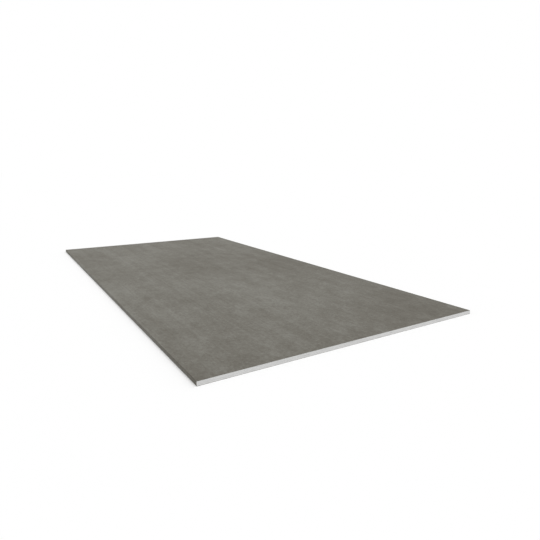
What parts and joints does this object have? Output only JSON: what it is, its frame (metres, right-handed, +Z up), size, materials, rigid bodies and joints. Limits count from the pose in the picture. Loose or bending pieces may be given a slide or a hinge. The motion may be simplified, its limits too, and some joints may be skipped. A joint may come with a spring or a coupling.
{
  "type": "gypsum roof board",
  "caption": "Flat mat-faced gypsum sheet for roof decks, with mat-wrapped square long edges, square-cut ends that show the pale core, and a lapped mat on the back.",
  "frame": {"origin": "middle of the back face, at the bottom centre of the board's box", "axes": "+X across the board's width, +Y along its length, +Z up through its thickness, out of the face"},
  "size_m": [1.2192, 2.4384, 0.0159],
  "materials": {
    "board": "matt warm-grey glass mat over a pale grey gypsum core"
  },
  "bodies": {
    "root": {"roof_board": "board"}
  },
  "joints": []
}
